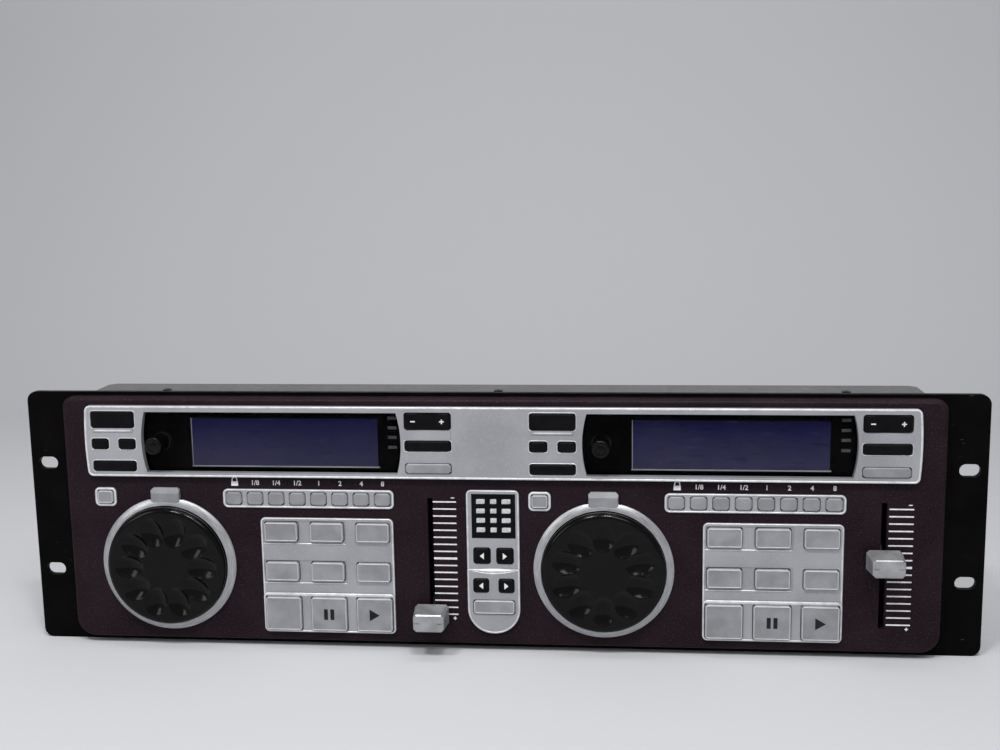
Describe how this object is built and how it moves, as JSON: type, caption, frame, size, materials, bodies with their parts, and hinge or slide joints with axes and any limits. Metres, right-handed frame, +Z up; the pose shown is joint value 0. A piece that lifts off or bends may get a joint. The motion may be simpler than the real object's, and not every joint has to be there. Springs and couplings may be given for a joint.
{
  "type": "rackmount dj controller",
  "caption": "Rack-width control surface for music playback: display strip, dished jog wheels, push-key pads, pitch faders and a shallow folded case behind its plate.",
  "frame": {"origin": "centre of the four rack slots, on the rack plate's rear face", "axes": "+X to the right along the plate, as seen from in front of the controls; +Y to the rear; +Z up"},
  "size_m": [0.4826, 0.0673, 0.1324],
  "materials": {
    "black_steel": "gloss black paint",
    "maroon_moulding": "very dark maroon, satin",
    "silver_moulding": "satin silver paint on a moulding",
    "smoked_window": "clear smoked",
    "black_sheet": "satin black powder coat",
    "board_laminate": "green lacquer",
    "dark_screw": "blackened",
    "black_key": "satin black",
    "clear_key": "milky translucent grey",
    "black_wheel": "gloss black",
    "fader_cap": "satin grey",
    "bare_steel": "turned"
  },
  "bodies": {
    "housing": {"rack_plate": "black_steel", "fascia": "maroon_moulding", "display_bezel": "silver_moulding", "display_lenses": "smoked_window", "silver_frames": "silver_moulding", "chassis_tray": "black_sheet", "top_cover": "black_sheet", "circuit_boards": "board_laminate", "screws": "dark_screw"},
    "left_display_key": {"left_display_key": "black_key"},
    "left_folder_key": {"left_folder_key": "black_key"},
    "left_file_key": {"left_file_key": "black_key"},
    "left_effects_key": {"left_effects_key": "black_key"},
    "left_pitch_rocker": {"left_pitch_rocker": "black_key"},
    "left_pitch_key": {"left_pitch_key": "black_key"},
    "left_lock_key": {"left_lock_key": "clear_key"},
    "left_mode_key": {"left_mode_key": "clear_key"},
    "left_scratch_key": {"left_scratch_key": "clear_key"},
    "left_loop_keys": {"left_loop_keys": "clear_key"},
    "left_loop_in_key": {"left_loop_in_key": "clear_key"},
    "left_loop_out_key": {"left_loop_out_key": "clear_key"},
    "left_beat_key": {"left_beat_key": "clear_key"},
    "left_hot_one_key": {"left_hot_one_key": "clear_key"},
    "left_hot_two_key": {"left_hot_two_key": "clear_key"},
    "left_sync_key": {"left_sync_key": "clear_key"},
    "left_cue_key": {"left_cue_key": "clear_key"},
    "left_pause_key": {"left_pause_key": "clear_key"},
    "left_play_key": {"left_play_key": "clear_key"},
    "left_jog_wheel": {"left_jog_wheel": "black_wheel"},
    "left_pitch_fader": {"left_pitch_fader": "fader_cap"},
    "left_select_shaft": {"left_select_shaft": "bare_steel"},
    "left_select_knob": {"left_select_knob": "black_wheel"},
    "right_display_key": {"right_display_key": "black_key"},
    "right_folder_key": {"right_folder_key": "black_key"},
    "right_file_key": {"right_file_key": "black_key"},
    "right_effects_key": {"right_effects_key": "black_key"},
    "right_pitch_rocker": {"right_pitch_rocker": "black_key"},
    "right_pitch_key": {"right_pitch_key": "black_key"},
    "right_lock_key": {"right_lock_key": "clear_key"},
    "right_mode_key": {"right_mode_key": "clear_key"},
    "right_scratch_key": {"right_scratch_key": "clear_key"},
    "right_loop_keys": {"right_loop_keys": "clear_key"},
    "right_loop_in_key": {"right_loop_in_key": "clear_key"},
    "right_loop_out_key": {"right_loop_out_key": "clear_key"},
    "right_beat_key": {"right_beat_key": "clear_key"},
    "right_hot_one_key": {"right_hot_one_key": "clear_key"},
    "right_hot_two_key": {"right_hot_two_key": "clear_key"},
    "right_sync_key": {"right_sync_key": "clear_key"},
    "right_cue_key": {"right_cue_key": "clear_key"},
    "right_pause_key": {"right_pause_key": "clear_key"},
    "right_play_key": {"right_play_key": "clear_key"},
    "right_jog_wheel": {"right_jog_wheel": "black_wheel"},
    "right_pitch_fader": {"right_pitch_fader": "fader_cap"},
    "right_select_shaft": {"right_select_shaft": "bare_steel"},
    "right_select_knob": {"right_select_knob": "black_wheel"},
    "pod_upper_left_key": {"pod_upper_left_key": "black_key"},
    "pod_upper_right_key": {"pod_upper_right_key": "black_key"},
    "pod_lower_left_key": {"pod_lower_left_key": "black_key"},
    "pod_lower_right_key": {"pod_lower_right_key": "black_key"},
    "pod_wide_key": {"pod_wide_key": "clear_key"}
  },
  "joints": [
    {"name": "left_display_key_push", "type": "slide", "parent": "housing", "child": "left_display_key", "axis": [0, 1, 0], "range_m": [0, 0.0006], "stiffness_N_per_m": 1500},
    {"name": "left_folder_key_push", "type": "slide", "parent": "housing", "child": "left_folder_key", "axis": [0, 1, 0], "range_m": [0, 0.0006], "stiffness_N_per_m": 1500},
    {"name": "left_file_key_push", "type": "slide", "parent": "housing", "child": "left_file_key", "axis": [0, 1, 0], "range_m": [0, 0.0006], "stiffness_N_per_m": 1500},
    {"name": "left_effects_key_push", "type": "slide", "parent": "housing", "child": "left_effects_key", "axis": [0, 1, 0], "range_m": [0, 0.0006], "stiffness_N_per_m": 1500},
    {"name": "left_pitch_rocker_tip", "type": "hinge", "parent": "housing", "child": "left_pitch_rocker", "pos_m": [-0.03165, -0.0079, 0.05375], "axis": [0, 0, 1], "range_deg": [-2, 2], "stiffness_Nm_per_rad": 0.2},
    {"name": "left_pitch_key_push", "type": "slide", "parent": "housing", "child": "left_pitch_key", "axis": [0, 1, 0], "range_m": [0, 0.0006], "stiffness_N_per_m": 1500},
    {"name": "left_lock_key_push", "type": "slide", "parent": "housing", "child": "left_lock_key", "axis": [0, 1, 0], "range_m": [0, 0.0006], "stiffness_N_per_m": 1500},
    {"name": "left_mode_key_push", "type": "slide", "parent": "housing", "child": "left_mode_key", "axis": [0, 1, 0], "range_m": [0, 0.0006], "stiffness_N_per_m": 1500},
    {"name": "left_scratch_key_push", "type": "slide", "parent": "housing", "child": "left_scratch_key", "axis": [0, 1, 0], "range_m": [0, 0.0006], "stiffness_N_per_m": 1500},
    {"name": "left_loop_keys_push", "type": "slide", "parent": "housing", "child": "left_loop_keys", "axis": [0, 1, 0], "range_m": [0, 0.0006], "stiffness_N_per_m": 1500},
    {"name": "left_loop_in_key_push", "type": "slide", "parent": "housing", "child": "left_loop_in_key", "axis": [0, 1, 0], "range_m": [0, 0.0006], "stiffness_N_per_m": 1500},
    {"name": "left_loop_out_key_push", "type": "slide", "parent": "housing", "child": "left_loop_out_key", "axis": [0, 1, 0], "range_m": [0, 0.0006], "stiffness_N_per_m": 1500},
    {"name": "left_beat_key_push", "type": "slide", "parent": "housing", "child": "left_beat_key", "axis": [0, 1, 0], "range_m": [0, 0.0006], "stiffness_N_per_m": 1500},
    {"name": "left_hot_one_key_push", "type": "slide", "parent": "housing", "child": "left_hot_one_key", "axis": [0, 1, 0], "range_m": [0, 0.0006], "stiffness_N_per_m": 1500},
    {"name": "left_hot_two_key_push", "type": "slide", "parent": "housing", "child": "left_hot_two_key", "axis": [0, 1, 0], "range_m": [0, 0.0006], "stiffness_N_per_m": 1500},
    {"name": "left_sync_key_push", "type": "slide", "parent": "housing", "child": "left_sync_key", "axis": [0, 1, 0], "range_m": [0, 0.0006], "stiffness_N_per_m": 1500},
    {"name": "left_cue_key_push", "type": "slide", "parent": "housing", "child": "left_cue_key", "axis": [0, 1, 0], "range_m": [0, 0.0006], "stiffness_N_per_m": 1500},
    {"name": "left_pause_key_push", "type": "slide", "parent": "housing", "child": "left_pause_key", "axis": [0, 1, 0], "range_m": [0, 0.0006], "stiffness_N_per_m": 1500},
    {"name": "left_play_key_push", "type": "slide", "parent": "housing", "child": "left_play_key", "axis": [0, 1, 0], "range_m": [0, 0.0006], "stiffness_N_per_m": 1500},
    {"name": "left_jog_wheel_turn", "type": "hinge", "parent": "housing", "child": "left_jog_wheel", "pos_m": [-0.16775, -0.01, -0.0221], "axis": [0, 1, 0], "continuous": true},
    {"name": "left_pitch_fader_slide", "type": "slide", "parent": "housing", "child": "left_pitch_fader", "axis": [0, 0, 1], "range_m": [-0.0021, 0.0579]},
    {"name": "left_select_shaft_push", "type": "slide", "parent": "housing", "child": "left_select_shaft", "axis": [0, 1, 0], "range_m": [0, 0.0005], "stiffness_N_per_m": 2000},
    {"name": "left_select_knob_turn", "type": "hinge", "parent": "left_select_shaft", "child": "left_select_knob", "pos_m": [-0.16885, -0.012, 0.04205], "axis": [0, 1, 0], "continuous": true},
    {"name": "right_display_key_push", "type": "slide", "parent": "housing", "child": "right_display_key", "axis": [0, 1, 0], "range_m": [0, 0.0006], "stiffness_N_per_m": 1500},
    {"name": "right_folder_key_push", "type": "slide", "parent": "housing", "child": "right_folder_key", "axis": [0, 1, 0], "range_m": [0, 0.0006], "stiffness_N_per_m": 1500},
    {"name": "right_file_key_push", "type": "slide", "parent": "housing", "child": "right_file_key", "axis": [0, 1, 0], "range_m": [0, 0.0006], "stiffness_N_per_m": 1500},
    {"name": "right_effects_key_push", "type": "slide", "parent": "housing", "child": "right_effects_key", "axis": [0, 1, 0], "range_m": [0, 0.0006], "stiffness_N_per_m": 1500},
    {"name": "right_pitch_rocker_tip", "type": "hinge", "parent": "housing", "child": "right_pitch_rocker", "pos_m": [0.19105, -0.0079, 0.05375], "axis": [0, 0, 1], "range_deg": [-2, 2], "stiffness_Nm_per_rad": 0.2},
    {"name": "right_pitch_key_push", "type": "slide", "parent": "housing", "child": "right_pitch_key", "axis": [0, 1, 0], "range_m": [0, 0.0006], "stiffness_N_per_m": 1500},
    {"name": "right_lock_key_push", "type": "slide", "parent": "housing", "child": "right_lock_key", "axis": [0, 1, 0], "range_m": [0, 0.0006], "stiffness_N_per_m": 1500},
    {"name": "right_mode_key_push", "type": "slide", "parent": "housing", "child": "right_mode_key", "axis": [0, 1, 0], "range_m": [0, 0.0006], "stiffness_N_per_m": 1500},
    {"name": "right_scratch_key_push", "type": "slide", "parent": "housing", "child": "right_scratch_key", "axis": [0, 1, 0], "range_m": [0, 0.0006], "stiffness_N_per_m": 1500},
    {"name": "right_loop_keys_push", "type": "slide", "parent": "housing", "child": "right_loop_keys", "axis": [0, 1, 0], "range_m": [0, 0.0006], "stiffness_N_per_m": 1500},
    {"name": "right_loop_in_key_push", "type": "slide", "parent": "housing", "child": "right_loop_in_key", "axis": [0, 1, 0], "range_m": [0, 0.0006], "stiffness_N_per_m": 1500},
    {"name": "right_loop_out_key_push", "type": "slide", "parent": "housing", "child": "right_loop_out_key", "axis": [0, 1, 0], "range_m": [0, 0.0006], "stiffness_N_per_m": 1500},
    {"name": "right_beat_key_push", "type": "slide", "parent": "housing", "child": "right_beat_key", "axis": [0, 1, 0], "range_m": [0, 0.0006], "stiffness_N_per_m": 1500},
    {"name": "right_hot_one_key_push", "type": "slide", "parent": "housing", "child": "right_hot_one_key", "axis": [0, 1, 0], "range_m": [0, 0.0006], "stiffness_N_per_m": 1500},
    {"name": "right_hot_two_key_push", "type": "slide", "parent": "housing", "child": "right_hot_two_key", "axis": [0, 1, 0], "range_m": [0, 0.0006], "stiffness_N_per_m": 1500},
    {"name": "right_sync_key_push", "type": "slide", "parent": "housing", "child": "right_sync_key", "axis": [0, 1, 0], "range_m": [0, 0.0006], "stiffness_N_per_m": 1500},
    {"name": "right_cue_key_push", "type": "slide", "parent": "housing", "child": "right_cue_key", "axis": [0, 1, 0], "range_m": [0, 0.0006], "stiffness_N_per_m": 1500},
    {"name": "right_pause_key_push", "type": "slide", "parent": "housing", "child": "right_pause_key", "axis": [0, 1, 0], "range_m": [0, 0.0006], "stiffness_N_per_m": 1500},
    {"name": "right_play_key_push", "type": "slide", "parent": "housing", "child": "right_play_key", "axis": [0, 1, 0], "range_m": [0, 0.0006], "stiffness_N_per_m": 1500},
    {"name": "right_jog_wheel_turn", "type": "hinge", "parent": "housing", "child": "right_jog_wheel", "pos_m": [0.05495, -0.01, -0.0221], "axis": [0, 1, 0], "continuous": true},
    {"name": "right_pitch_fader_slide", "type": "slide", "parent": "housing", "child": "right_pitch_fader", "axis": [0, 0, 1], "range_m": [-0.0339, 0.0261]},
    {"name": "right_select_shaft_push", "type": "slide", "parent": "housing", "child": "right_select_shaft", "axis": [0, 1, 0], "range_m": [0, 0.0005], "stiffness_N_per_m": 2000},
    {"name": "right_select_knob_turn", "type": "hinge", "parent": "right_select_shaft", "child": "right_select_knob", "pos_m": [0.05385, -0.012, 0.04205], "axis": [0, 1, 0], "continuous": true},
    {"name": "pod_upper_left_key_push", "type": "slide", "parent": "housing", "child": "pod_upper_left_key", "axis": [0, 1, 0], "range_m": [0, 0.0006], "stiffness_N_per_m": 1500},
    {"name": "pod_upper_right_key_push", "type": "slide", "parent": "housing", "child": "pod_upper_right_key", "axis": [0, 1, 0], "range_m": [0, 0.0006], "stiffness_N_per_m": 1500},
    {"name": "pod_lower_left_key_push", "type": "slide", "parent": "housing", "child": "pod_lower_left_key", "axis": [0, 1, 0], "range_m": [0, 0.0006], "stiffness_N_per_m": 1500},
    {"name": "pod_lower_right_key_push", "type": "slide", "parent": "housing", "child": "pod_lower_right_key", "axis": [0, 1, 0], "range_m": [0, 0.0006], "stiffness_N_per_m": 1500},
    {"name": "pod_wide_key_push", "type": "slide", "parent": "housing", "child": "pod_wide_key", "axis": [0, 1, 0], "range_m": [0, 0.0006], "stiffness_N_per_m": 1500}
  ]
}
